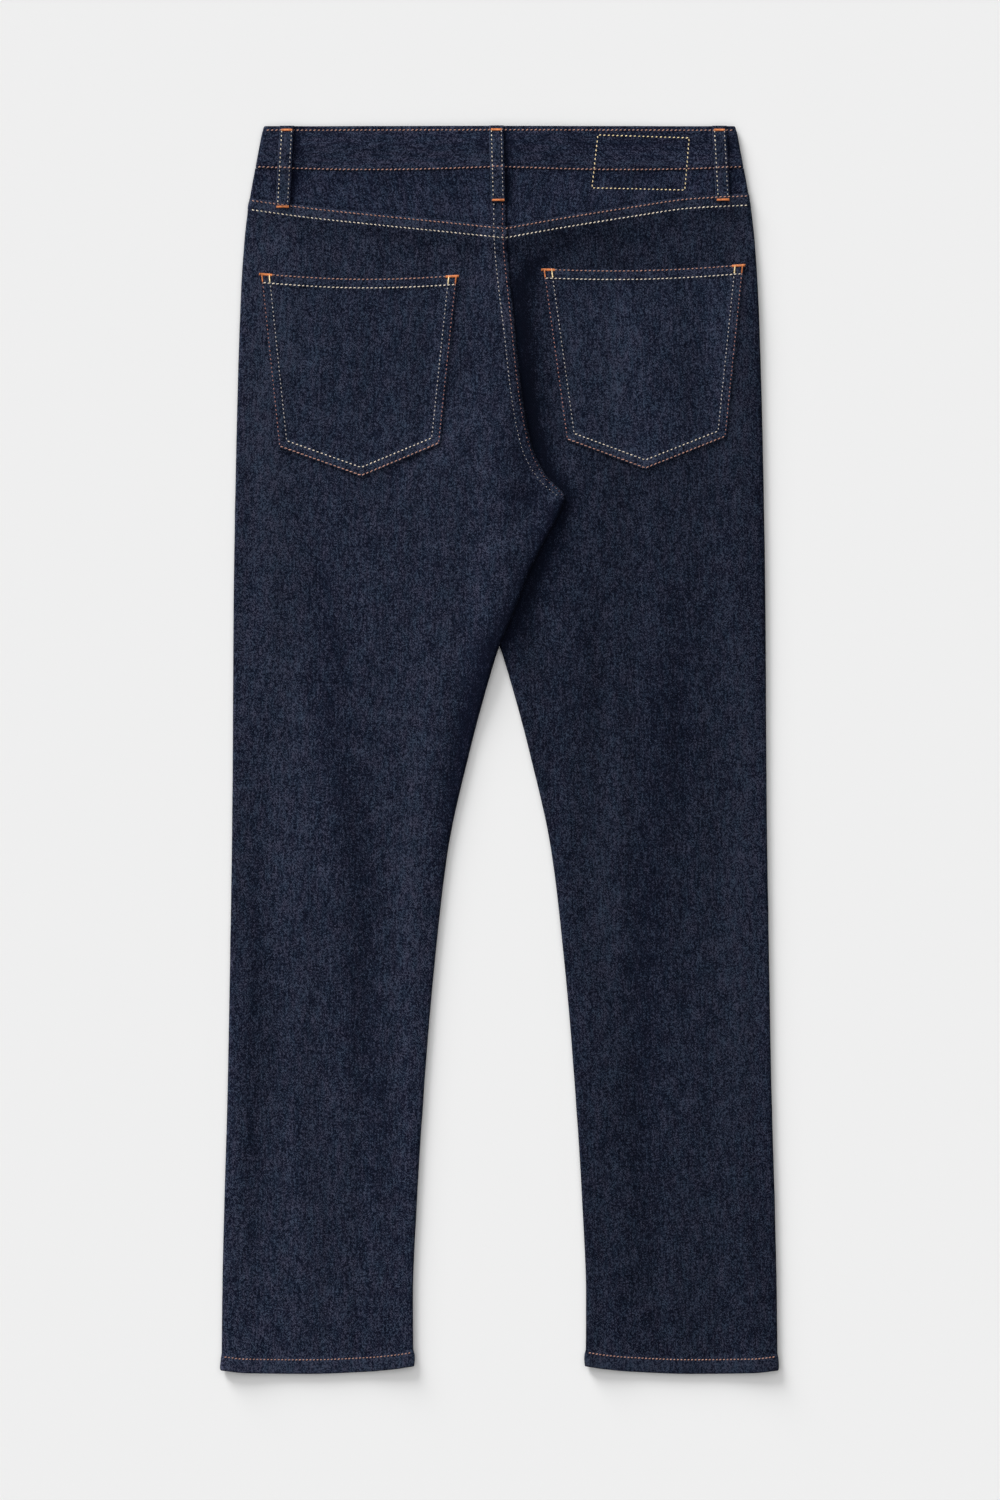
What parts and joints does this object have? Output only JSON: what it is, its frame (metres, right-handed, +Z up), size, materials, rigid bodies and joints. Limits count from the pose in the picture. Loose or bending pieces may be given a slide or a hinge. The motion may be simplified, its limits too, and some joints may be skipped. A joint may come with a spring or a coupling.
{
  "type": "slim jeans",
  "caption": "Slim jeans with five-pocket styling laid flat with the back up, left leg lapped over the right at the crotch, with waistband, yokes, back pockets, belt loops, fly zip and button.",
  "frame": {"origin": "centre of the bounding box in plan, at the height of the floor that the jeans lie on", "axes": "+Z up from the floor through the front to the back, +Y from the hems to the waist, +X to the wearer's right"},
  "size_m": [0.4772, 1.067, 0.0135],
  "materials": {
    "denim": "raw indigo twill",
    "button_metal": "aged",
    "zip_tape": "woven tape"
  },
  "bodies": {
    "root": {"back_left": "denim", "back_right": "denim", "front_left": "denim", "front_right": "denim", "yoke_left": "denim", "yoke_right": "denim", "waistband": "denim", "back_pocket_left": "denim", "back_pocket_right": "denim", "belt_loop_centre": "denim", "belt_loop_side_left": "denim", "belt_loop_side_right": "denim", "belt_loop_front_left": "denim", "belt_loop_front_right": "denim", "pocket_facing_left": "denim", "pocket_facing_right": "denim", "fly_zip": "zip_tape", "waist_button": "button_metal"}
  },
  "joints": []
}
